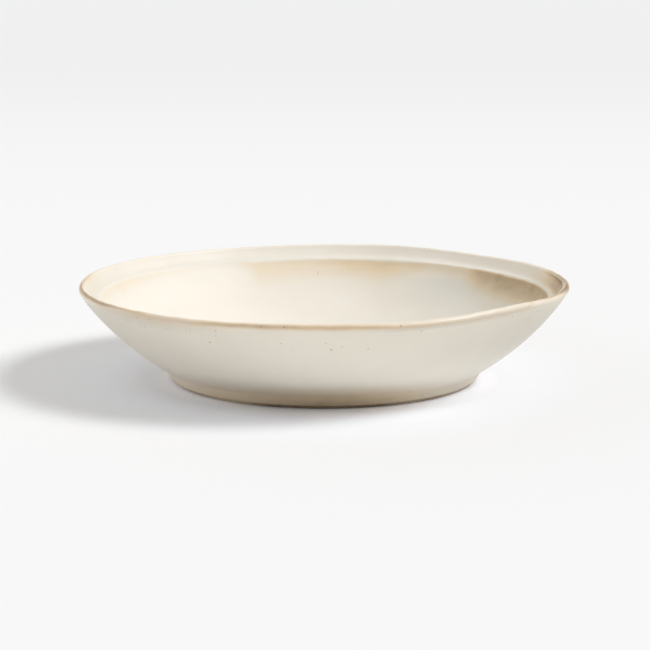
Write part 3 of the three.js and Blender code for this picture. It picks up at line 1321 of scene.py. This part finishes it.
@dataclass(frozen=True)
class GlazeFinish:
    """A satin cream glaze that breaks through tan to brown where it is thin, with small iron specks and
    painted shade.
    """

    name: str
    cream: Colour = srgb(248, 240, 226)
    pooled: Colour = srgb(244, 237, 222)
    beige: Colour = srgb(236, 216, 184)
    tan: Colour = srgb(203, 181, 148)
    brown: Colour = srgb(137, 113, 79)
    speck: Colour = srgb(112, 84, 58)
    # the tint that the painted shade multiplies in
    shade_tint: Colour = (0.78, 0.775, 0.76, 1.0)
    roughness: float = 0.46
    roughness_swing: float = 0.12
    toast_roughness: float = 0.12
    mottle_size: float = 42.0
    cloud_size: float = 6.5
    grain_size: float = 1.1
    pooling: Ramp = Ramp(0.35, 0.65)
    beige_from: float = 0.0
    tan_from: float = 0.3
    brown_from: float = 0.6
    toast_swing: float = 0.4
    toast_spill: float = 0.05
    speck_strength: float = 0.4
    speck_spacing: float = 9.5
    speck_radius: float = 0.4
    fine_speck_spacing: float = 3.6
    fine_speck_radius: float = 0.22
    fine_speck_share: float = 0.5
    fray: float = 0.3  # how far a speck's edge strays
    fray_size: float = 0.8
    grain_relief: float = 0.5
    relief_strength: float = 0.25
    relief_depth: float = 0.12
    bending: float = 1.5  # the refractive index

    def material(self, marks: Sequence[Mark]) -> bpy.types.Material:
        """The glaze as a Blender material, with marks of its own at chosen places.

        Args:
            marks: The specks and runs that it shows beside the scattered ones.

        Returns:
            The material.
        """
        made = bpy.data.materials.new(self.name)
        graph = Graph(made)
        at = graph.place()
        mottle = graph.noise(at, self.mottle_size)
        cloud = graph.noise(at, self.cloud_size, detail=3.0, roughness=0.6)
        grain = graph.noise(at, self.grain_size, detail=3.0, roughness=0.6)
        toast = graph.painted(TOAST)
        colour = self._toasted(graph, toast, mottle, cloud)
        roughness = self.roughness + (mottle - NOISE_MIDDLE) * self.roughness_swing
        height = grain * self.grain_relief + cloud
        inputs = {
            "Base Color": self._spotted(graph, at, colour, marks),
            "Roughness": roughness + toast * self.toast_roughness,
            "Normal": graph.relief(height, self.relief_depth, self.relief_strength),
            "IOR": self.bending,
        }
        graph.surface(graph.node("ShaderNodeBsdfPrincipled", {}, inputs))
        return made

    def _toasted(self, graph: Graph, toast: Sock, mottle: Sock, cloud: Sock) -> Sock:
        """The glaze's colour without its specks, with the painted shade multiplied in.

        Args:
            graph: The material's nodes.
            toast: How far the glaze has broken to brown.
            mottle: The wide noise by which it pools.
            cloud: The smaller noise that breaks the brown up.

        Returns:
            The colour.
        """
        even = 1 - self.toast_swing / 2
        broken = toast * (even + self.toast_swing * cloud) + (cloud - NOISE_MIDDLE) * self.toast_spill
        colour = graph.mix(graph.step(mottle, *self.pooling), self.cream, self.pooled)
        colour = graph.mix(graph.climb(broken, self.beige_from, self.tan_from), colour, self.beige)
        colour = graph.mix(graph.climb(broken, self.tan_from, self.brown_from), colour, self.tan)
        colour = graph.mix(graph.climb(broken, self.brown_from, 1.0), colour, self.brown)
        # multiplies in the painted shade
        return graph.mix(graph.painted(PAINTED_SHADE), colour, self.shade_tint, "MULTIPLY")

    def _spotted(self, graph: Graph, at: Sock, colour: Sock, marks: Sequence[Mark]) -> Sock:
        """The glaze's colour with its specks and runs.

        Args:
            graph: The material's nodes.
            at: The piece's coordinates.
            colour: The colour without them.
            marks: The specks and runs at chosen places.

        Returns:
            The colour.
        """
        frayed = graph.frayed(at, self.fray_size, self.fray)
        coarse = graph.specks(frayed, self.speck_spacing, self.speck_radius)
        fine = graph.specks(frayed, self.fine_speck_spacing, self.fine_speck_radius) * self.fine_speck_share
        spots = coarse.larger(fine) * self.speck_strength
        for mark in marks:
            spots = spots.larger(graph.mark(frayed, mark))
        return graph.mix(spots, colour, self.speck)


@dataclass(frozen=True)
class ClayFinish:
    """Bare fired stoneware: dry, warm and sandy, with dark grains in it and painted shade multiplied in."""

    name: str
    pale: Colour = srgb(205, 187, 161)
    dark: Colour = srgb(183, 162, 136)
    grain: Colour = srgb(104, 80, 58)
    # the tint that the painted shade on the ring's front multiplies in
    shade_tint: Colour = (0.48, 0.45, 0.41, 1.0)
    roughness: float = 0.82
    sand_roughness: float = 0.1
    mottle_size: float = 7.0
    mottling: Ramp = Ramp(0.3, 0.7)
    sand_size: float = 0.7
    grain_spacing: float = 2.2
    grain_radius: float = 0.3
    grain_strength: float = 0.7
    relief_strength: float = 0.5
    relief_depth: float = 0.15

    def material(self) -> bpy.types.Material:
        """The clay as a Blender material.

        Returns:
            The material.
        """
        made = bpy.data.materials.new(self.name)
        graph = Graph(made)
        at = graph.place()
        mottle = graph.noise(at, self.mottle_size, detail=4.0, roughness=0.6)
        sand = graph.noise(at, self.sand_size, detail=3.0, roughness=0.7)
        ground = graph.mix(graph.step(mottle, *self.mottling), self.pale, self.dark)
        grains = graph.specks(at, self.grain_spacing, self.grain_radius) * self.grain_strength
        grained = graph.mix(grains, ground, self.grain)
        inputs = {
            # the painted shade darkens the ring's front
            "Base Color": graph.mix(graph.painted(PAINTED_SHADE), grained, self.shade_tint, "MULTIPLY"),
            "Roughness": self.roughness - sand * self.sand_roughness,
            "Normal": graph.relief(sand, self.relief_depth, self.relief_strength),
        }
        graph.surface(graph.node("ShaderNodeBsdfPrincipled", {}, inputs))
        return made


@dataclass(frozen=True)
class Workshop:
    """What every piece is made with: the bowl's sizes, the maker's hand, the glaze's browns, the painted
    shade and the tools.
    """

    shape: BowlShape
    shaping: HandShaping
    toasting: Toasting
    painted_shade: PaintedShade
    potter: Potter


def settle(piece: bpy.types.Object, node: str, slot: str) -> None:
    """Ties a finished piece to the bowl's body and hides the node that it stands for.

    Args:
        piece: The finished piece.
        node: The CAD node that it replaces.
        slot: Not used.
    """
    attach(piece, BODY)
    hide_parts(node)


@dataclass
class ClayBody:
    """The fired clay from foot to lip. Only its standing ring stays bare."""

    shop: Workshop
    finish: ClayFinish
    node: str = "stoneware_body"
    name: str = "stoneware_clay"
    slot: str = "clay"
    hidden_spacing: int = 2
    least_step: float = 0.02

    def build(self) -> bpy.types.Object:
        """Turns the clay and dresses it.

        Returns:
            The finished piece.
        """
        potter = self.shop.potter
        outline = np.vstack([self._thinned(stretch) for stretch in Stretch])
        apart = np.linalg.norm(np.diff(outline, axis=0), axis=1) > self.least_step
        piece = potter.turn(self.name, outline[np.concatenate([[True], apart])], closed=False)
        points = potter.points(piece)
        # paints the painted shade on the front of the standing ring
        potter.paint(piece, PAINTED_SHADE, self.shop.painted_shade.amount(points, Stretch.STANDING_RING))
        potter.place(piece, self.shop.shaping.moved(points))
        piece.data.materials.append(self.finish.material())
        settle(piece, self.node, self.slot)
        return piece

    def _thinned(self, stretch: Stretch) -> Outline:
        """A stretch of the outline, with fewer points where a coat hides it.

        Args:
            stretch: The stretch.

        Returns:
            Its points in order.
        """
        points = self.shop.shape.outline(stretch)
        if stretch is Stretch.STANDING_RING:
            return points
        return points[every(points, self.hidden_spacing)]


class EdgeSort(Enum):
    """How a coat's edge is shaped."""

    BEAD = "bead"
    FEATHERED = "feathered"


@dataclass(frozen=True)
class CoatEdge:
    """A coat's edge: its shape, its thickness at the very end, and how far it runs in, in millimetres."""

    sort: EdgeSort
    thickness: float
    length: float

    def depth(self, distance: np.ndarray, full: float) -> np.ndarray:
        """The coat's thickness at distances from the edge.

        Args:
            distance: The distances, in millimetres.
            full: The coat's thickness away from its edges.

        Returns:
            One thickness for each distance.
        """
        t = np.clip(distance / self.length, 0, 1)
        round_end = np.sqrt(np.clip(1 - (1 - t) ** 2, 0, None))
        share = round_end if self.sort is EdgeSort.BEAD else t * t * (3 - 2 * t)
        return self.thickness + (full - self.thickness) * share

    def places(self, steps: int) -> np.ndarray:
        """Where the edge needs points, counted from its end."""
        return self.length * (1 - np.cos(np.linspace(0, math.pi / 2, steps + 1)))


BARE_EDGE = CoatEdge(EdgeSort.BEAD, thickness=0.04, length=0.9)
RIM_EDGE = CoatEdge(EdgeSort.FEATHERED, thickness=0.27, length=3.5)
FLUSH_EDGE = CoatEdge(EdgeSort.FEATHERED, thickness=0.25, length=0.4)


@dataclass
class GlazeCoat:
    """One coat on a stretch of the clay, with shaped edges where it stops."""

    shop: Workshop
    finish: GlazeFinish
    stretch: Stretch
    node: str
    name: str
    slot: str = "cream_glaze"
    thickness: float = 0.5
    first_edge: CoatEdge = FLUSH_EDGE
    last_edge: CoatEdge = FLUSH_EDGE
    bond_gap: float = 0.06
    tuck: float = 0.0  # how far it runs on under its neighbours
    edge_steps: int = 9
    edge_margin: float = 1.05  # how far past an edge's length its own points take over
    back_spacing: int = 4
    marks: tuple[Speck | Run, ...] = ()

    def build(self) -> bpy.types.Object:
        """Turns the coat, shapes it as the clay under it is shaped, and dresses it.

        Returns:
            The finished piece.
        """
        potter = self.shop.potter
        piece = potter.turn(self.name, *self._section())
        points = potter.points(piece)
        potter.paint(piece, TOAST, self.shop.toasting.amount(points, self.stretch))
        # paints the painted shade that the material darkens by
        potter.paint(piece, PAINTED_SHADE, self.shop.painted_shade.amount(points, self.stretch))
        potter.place(piece, self.shop.shaping.moved(points))
        piece.data.materials.append(self.finish.material([self._placed(mark) for mark in self.marks]))
        settle(piece, self.node, self.slot)
        return piece

    def _placed(self, mark: Speck | Run) -> Mark:
        """A mark at its place on the coat's face.

        Args:
            mark: The speck or run.

        Returns:
            The mark with its place in metres.
        """
        face = offset(self.shop.shape.outline(self.stretch), self.bond_gap + self.thickness)
        radius = face[np.argmin(np.abs(face[:, 1] - mark.height))][0]
        turn = math.radians(mark.bearing)
        turned = np.array([[radius * math.cos(turn), radius * math.sin(turn), mark.height]])
        return Mark(tuple(self.shop.shaping.moved(turned)[0] * MM), mark)

    def _section(self) -> tuple[Outline, bool]:
        """The coat's section.

        Returns:
            Its outline, and whether it closes on itself clear of the axis.
        """
        bare = self._with_close_ends(self._tucked(self.shop.shape.outline(self.stretch)))
        face = offset(bare, self.bond_gap + self._thickness_along(bare))
        back = offset(bare, self.bond_gap)[every(bare, self.back_spacing)][::-1]
        if bare[-1][0] == 0:
            return np.vstack([back, face[1:]]), False
        if bare[0][0] == 0:
            return np.vstack([face, back[1:]]), False
        return np.vstack([face, back[1:-1]]), True

    def _tucked(self, bare: Outline) -> Outline:
        """The outline carried on at both ends, to where the coat runs under its neighbours.

        Args:
            bare: The clay's outline.

        Returns:
            The longer outline.
        """
        if self.tuck == 0:
            return bare
        first = bare[0] + towards(bare[1], bare[0]) * self.tuck
        last = bare[-1] + towards(bare[-2], bare[-1]) * self.tuck
        return np.vstack([first, bare, last])

    def _with_close_ends(self, bare: Outline) -> Outline:
        """The outline with close points near its edges. A point on the axis is no edge.

        Args:
            bare: The clay's outline.

        Returns:
            The same outline with other points.
        """
        along = places = lengths_along(bare)
        if bare[0][0] > 0:
            rest = places[places > self.first_edge.length * self.edge_margin]
            places = np.concatenate([self.first_edge.places(self.edge_steps), rest])
        if bare[-1][0] > 0:
            rest = places[places < along[-1] - self.last_edge.length * self.edge_margin]
            places = np.concatenate([rest, (along[-1] - self.last_edge.places(self.edge_steps))[::-1]])
        return np.column_stack([np.interp(places, along, bare[:, 0]), np.interp(places, along, bare[:, 1])])

    def _thickness_along(self, bare: Outline) -> np.ndarray:
        """The coat's thickness, full and down to that of its edges.

        Args:
            bare: The clay's outline.

        Returns:
            One thickness for each of its points.
        """
        along = lengths_along(bare)
        depth = np.full(len(bare), self.thickness)
        if bare[0][0] > 0:
            depth = np.minimum(depth, self.first_edge.depth(along, self.thickness))
        if bare[-1][0] > 0:
            depth = np.minimum(depth, self.last_edge.depth(along[-1] - along, self.thickness))
        return depth


@dataclass(frozen=True)
class Studio:
    """A pale floor with painted light and tints near the bowl, a soft key from the right, a sky that is dim
    in front, and the photograph's camera.

    Lengths are in metres, angles in degrees, and the sky's places in parts of its unit sphere.
    """

    floor_size: float = 24.0
    floor_near: Colour = (0.968, 0.968, 0.968, 1.0)
    # painted falloff: the floor is painted darker towards the back
    floor_far: Colour = (0.9, 0.9, 0.902, 1.0)
    # painted cool tints near the bowl, one for its right side, that offset the warm light the bowl throws on
    # the floor
    floor_round_bowl: Colour = (0.945, 0.98, 1.065, 1.0)
    floor_right_of_bowl: Colour = (0.958, 0.985, 1.051, 1.0)
    # painted light, above white, that lifts the bowl's shade on the floor at its foot and in front of it
    floor_painted_light: Colour = (1.43, 1.5, 1.68, 1.0)
    far: Ramp = Ramp(0.3, 2.2)
    round_bowl: Ramp = Ramp(0.075, 0.15)
    # where that painted light lies: round the foot, on the right, a share on the left, and in front
    at_foot: Ramp = Ramp(0.067, 0.081)
    foot_right: Ramp = Ramp(-0.02, 0.045)
    foot_left: Ramp = Ramp(-0.06, -0.025)
    foot_left_share: float = 0.45
    front_bearing: float = -74.0
    front_spread: Ramp = Ramp(0.9, 0.99)  # the cosine of the turn from that bearing
    front_reach: Ramp = Ramp(0.07, 0.105)
    front_share: float = 0.25
    sky: float = 0.8
    sky_low: float = 0.9
    sky_level: float = 0.5  # the height at which the sky has its own strength
    front_shade: float = 0.75
    front_low: Ramp = Ramp(0.1, 0.55)
    front_rear: Ramp = Ramp(-0.9, 0.0)
    right_shade: float = 0.85
    right_low: Ramp = Ramp(0.1, 0.95)
    right_side: Ramp = Ramp(0.0, 0.8)
    backdrop: float = 0.86
    key: float = 1.77
    key_elevation: float = 43.8
    key_bearing: float = -9.0
    key_spread: float = 7.5
    key_angle: float = 18.0
    key_distance: float = 2.0
    camera_distance: float = 1.0
    camera_elevation: float = 10.52
    camera_aim: float = 0.02384
    camera_side: float = 0.00041
    lens: float = 121.1
    sensor: float = 36.0

    def build(self) -> None:
        """Makes the floor, the lights, the sky and the camera."""
        self._floor()
        self._sky()
        for turn in (-self.key_spread, self.key_spread):
            self._sun(self.key_bearing + turn, self.key / 2)
        self._camera()
        bpy.context.scene.view_settings.view_transform = "Standard"

    def _floor(self) -> None:
        """A level floor, painted darker to the back, painted cooler round the bowl and painted paler at its
        foot to lift the bowl's shade there.
        """
        bpy.ops.object.select_all(action="DESELECT")
        bpy.ops.mesh.primitive_plane_add(size=self.floor_size)
        floor = bpy.context.object
        floor.name = "studio_floor"
        paper = bpy.data.materials.new("floor_paper")
        graph = Graph(paper)
        at = graph.place()
        from_bowl = graph.vector("LENGTH", at, output="Value")
        to_right = graph.part(at, "X")
        # the floor is painted darker towards the back, where light falls off
        tone = graph.mix(graph.step(graph.part(at, "Y"), *self.far), self.floor_near, self.floor_far)
        # near the bowl the floor is painted cooler, against the warm light that the bowl throws on it
        right = graph.step(to_right, *self.foot_right)
        beside_bowl = graph.mix(right, self.floor_round_bowl, self.floor_right_of_bowl)
        tone = graph.mix(graph.step(from_bowl, *self.round_bowl), beside_bowl, tone)
        # painted light at the foot: full on the right, a share on the left, and some in front
        left = (1 - graph.step(to_right, *self.foot_left)) * self.foot_left_share
        at_foot = (1 - graph.step(from_bowl, *self.at_foot)) * right.larger(left)
        turn = math.radians(self.front_bearing)
        facing = (math.cos(turn), math.sin(turn), 0.0)
        ahead = graph.vector("DOT_PRODUCT", graph.vector("NORMALIZE", at), facing, output="Value")
        in_front = (1 - graph.step(from_bowl, *self.front_reach)) * graph.step(ahead, *self.front_spread)
        tone = graph.mix(at_foot.larger(in_front * self.front_share), tone, self.floor_painted_light)
        graph.surface(graph.node("ShaderNodeBsdfDiffuse", {}, {"Color": tone}))
        floor.data.materials.append(paper)

    def _sky(self) -> None:
        """A sky, brighter low down and dim in front. The camera and reflections see the backdrop's tone."""
        world = bpy.data.worlds.new("studio_sky")
        graph = Graph(world)
        rays = ("Is Camera Ray", "Is Glossy Ray", "Is Transmission Ray")
        straight, mirrored, through = (graph.node("ShaderNodeLightPath", output=ray) for ray in rays)
        seen = straight.larger(mirrored).larger(through)
        facing = graph.node("ShaderNodeTexCoord", output="Generated")
        right, rear, height = (graph.part(facing, axis) for axis in "XYZ")
        in_front = (1 - graph.step(height, *self.front_low)) * (1 - graph.step(rear, *self.front_rear))
        at_right = (1 - graph.step(height, *self.right_low)) * graph.step(right, *self.right_side)
        shaded = (1 - self.front_shade * in_front) * (1 - self.right_shade * at_right)
        light = self.sky * (1 + self.sky_low * (self.sky_level - height)) * shaded
        strength = light + (self.backdrop - light) * seen
        inputs = {"Color": (1.0, 1.0, 1.0, 1.0), "Strength": strength}
        graph.node("ShaderNodeOutputWorld", {}, {"Surface": graph.node("ShaderNodeBackground", {}, inputs)})
        bpy.context.scene.world = world

    def _sun(self, bearing: float, strength: float) -> None:
        """One part of the key, a soft sun.

        Args:
            bearing: The bearing that it shines from.
            strength: Its strength.
        """
        elevation, turn = math.radians(self.key_elevation), math.radians(bearing)
        level = math.cos(elevation)
        to_sun = Vector((level * math.cos(turn), level * math.sin(turn), math.sin(elevation)))
        aim = to_sun.to_track_quat("Z", "Y").to_euler()
        bpy.ops.object.light_add(type="SUN", location=to_sun * self.key_distance, rotation=aim)
        lamp = bpy.context.object.data
        lamp.energy = strength
        lamp.angle = math.radians(self.key_angle)

    def _camera(self) -> None:
        """The camera at the photograph's angle, level and facing +Y."""
        elevation = math.radians(self.camera_elevation)
        back = self.camera_distance * math.cos(elevation)
        up = self.camera_aim + self.camera_distance * math.sin(elevation)
        tilt = (math.pi / 2 - elevation, 0.0, 0.0)
        bpy.ops.object.camera_add(location=(self.camera_side, -back, up), rotation=tilt)
        camera = bpy.context.object
        camera.data.lens = self.lens
        camera.data.sensor_width = self.sensor
        bpy.context.scene.camera = camera


OUTSIDE_MARKS = (
    Speck(-99.5, 35.8, 0.6),
    Speck(-43.4, 40.0, 0.6),
    Speck(-88.4, 32.7, 0.7, 0.5),
    Speck(-86.0, 34.1, 0.5, 0.4),
    Speck(-80.0, 32.8, 0.6, 0.4),
    Speck(-116.7, 34.1, 0.7, 0.4),
    Speck(-114.0, 40.2, 0.6, 0.35),
    Speck(-97.2, 33.0, 0.5, 0.3),
    Speck(-68.6, 40.2, 0.6, 0.35),
    Speck(-72.1, 28.0, 0.4, 0.35),
    Speck(-59.9, 30.0, 0.4, 0.3),
    Speck(-127.4, 38.6, 0.5, 0.35),
    Speck(-84.1, 40.3, 0.6, 0.35),
    Speck(-92.3, 41.0, 0.5, 0.35),
    Run(-135.6, 38.2, 0.4, 4.0),
    Run(-134.5, 37.8, 0.4, 3.4),
    Run(-121.7, 38.8, 0.4, 3.4),
    Run(-120.7, 38.6, 0.4, 3.0),
    Run(-114.4, 38.0, 0.4, 3.0),
)
INSIDE_MARKS = (Run(91.8, 32.2, 0.35, 2.4, 0.3),)
LIP_MARKS = (
    Speck(-103.4, 43.4, 0.6, 0.3),
    Speck(-98.4, 43.3, 0.6, 0.4),
    Speck(-73.6, 43.3, 0.6, 0.45),
    Speck(-38.4, 43.2, 0.5),
    Speck(-135.5, 41.6, 0.5),
    Speck(-131.3, 42.2, 0.5),
    Speck(131.9, 43.6, 0.5),
)


@dataclass
class LowBowl:
    """The whole bowl: its clay and the coats on it."""

    shape: BowlShape = field(default_factory=BowlShape)
    clay: ClayFinish = ClayFinish("bare_stoneware")
    inside: GlazeFinish = GlazeFinish(
        "inside_cream",
        cream=srgb(245, 239, 228),
        pooled=srgb(241, 235, 223),
        # the inside's painted shade is a cooler grey
        shade_tint=(0.74, 0.79, 0.8, 1.0),
        roughness=0.58,
        speck_strength=0.1,
    )
    outside: GlazeFinish = GlazeFinish("outside_cream")
    rim: GlazeFinish = GlazeFinish(
        "rim_brown",
        beige=srgb(236, 214, 183),
        tan=srgb(203, 179, 147),
        roughness=0.38,
    )
    base: GlazeFinish = GlazeFinish("base_cream")
    wash_thickness: float = 0.25
    wash_tuck: float = 0.3

    def build(self) -> list[bpy.types.Object]:
        """Builds every piece.

        Returns:
            The pieces, from the clay outwards.
        """
        shape = self.shape
        shop = Workshop(shape, HandShaping(shape), Toasting(shape), PaintedShade(shape), Potter())
        inside = GlazeCoat(
            shop,
            self.inside,
            Stretch.INSIDE,
            "inside_glaze",
            "inside_coat",
            first_edge=RIM_EDGE,
            marks=INSIDE_MARKS,
        )
        outside = GlazeCoat(
            shop,
            self.outside,
            Stretch.OUTSIDE,
            "outside_glaze",
            "outside_coat",
            first_edge=BARE_EDGE,
            last_edge=RIM_EDGE,
            marks=OUTSIDE_MARKS,
        )
        rim = GlazeCoat(
            shop,
            self.rim,
            Stretch.LIP,
            "rim_wash",
            "rim_coat",
            "brown_wash",
            thickness=self.wash_thickness,
            tuck=self.wash_tuck,
            marks=LIP_MARKS,
        )
        base = GlazeCoat(shop, self.base, Stretch.BASE, "base_glaze", "base_coat", last_edge=BARE_EDGE)
        return [part.build() for part in (ClayBody(shop, self.clay), inside, outside, rim, base)]


def main() -> None:
    """Builds the studio and the bowl, and reports each piece."""
    logging.basicConfig(level=logging.INFO)
    Studio().build()
    for piece in LowBowl().build():
        mesh = piece.data
        LOG.info("%s: %d vertices, %d faces", piece.name, len(mesh.vertices), len(mesh.polygons))


if __name__ == "__main__":
    main()
